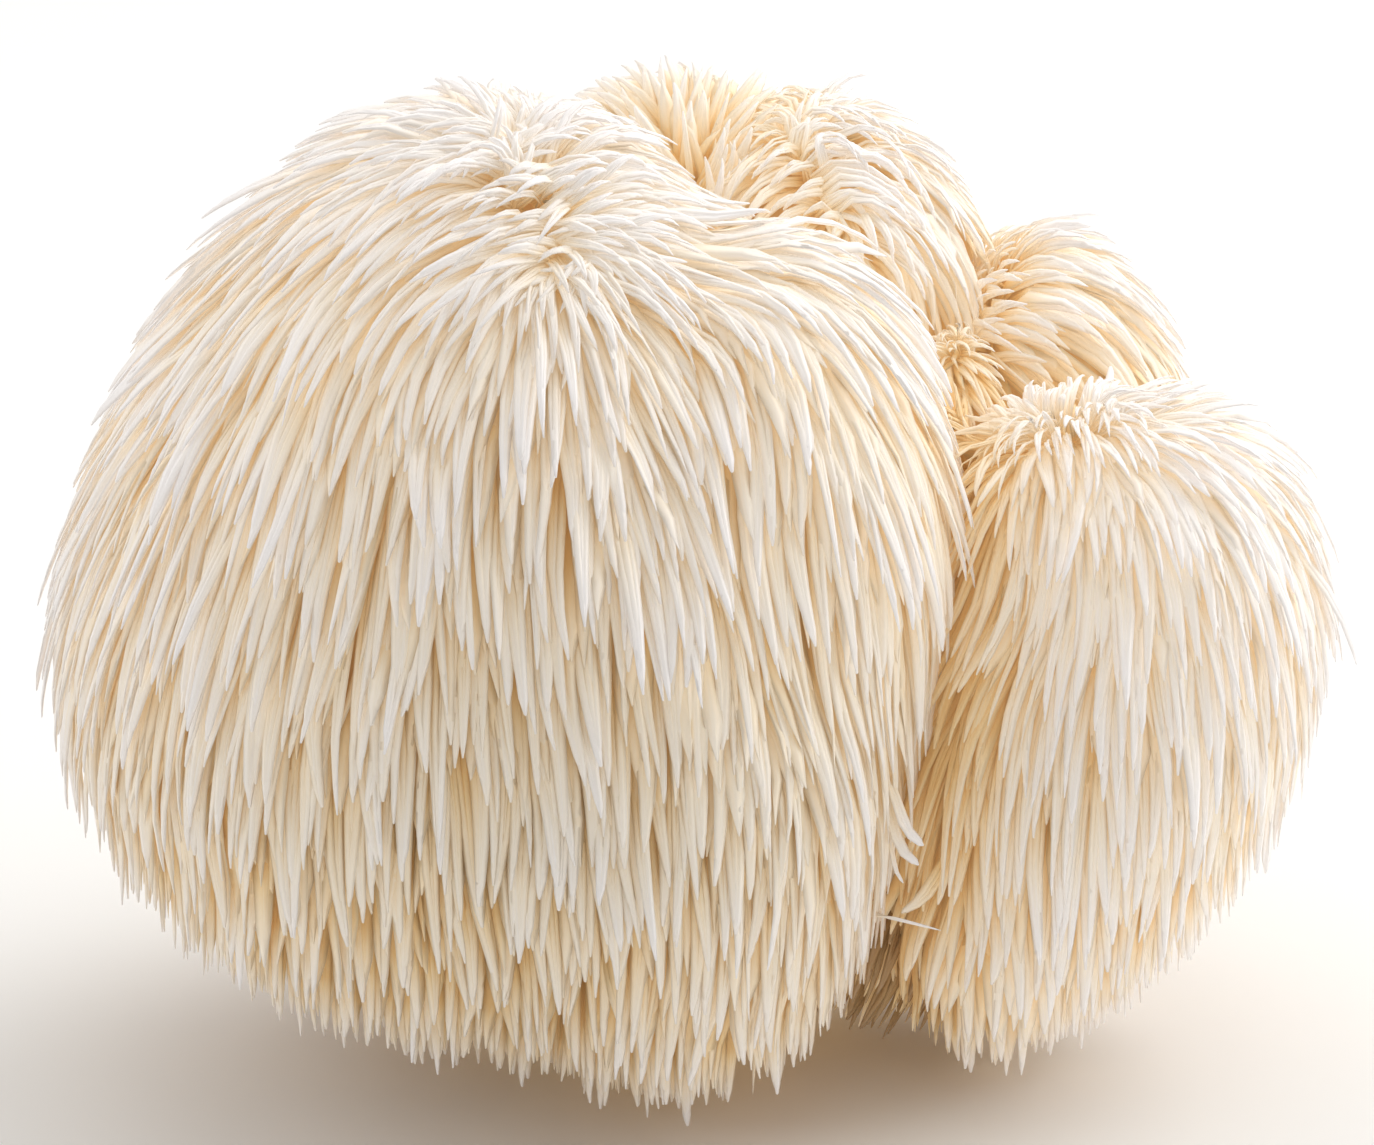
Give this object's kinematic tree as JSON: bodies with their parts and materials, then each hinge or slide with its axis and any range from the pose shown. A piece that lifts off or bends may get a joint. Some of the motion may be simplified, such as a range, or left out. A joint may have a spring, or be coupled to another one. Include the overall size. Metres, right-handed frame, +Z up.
{
  "type": "lion's mane mushroom",
  "caption": "Whole lion's mane mushroom: a cluster of round cream lobes covered in long hanging spines, standing on the flat cut of its short stub.",
  "frame": {"origin": "centre of the flat cut under the stub, where the mushroom rests", "axes": "+Z up, +X to the right of the big front lobe, towards the smaller lobes, and -Y out of the front"},
  "size_m": [0.1941, 0.1406, 0.154],
  "materials": {
    "mushroom_flesh": "matte"
  },
  "bodies": {
    "root": {"lions_mane_mushroom": "mushroom_flesh"}
  },
  "joints": []
}
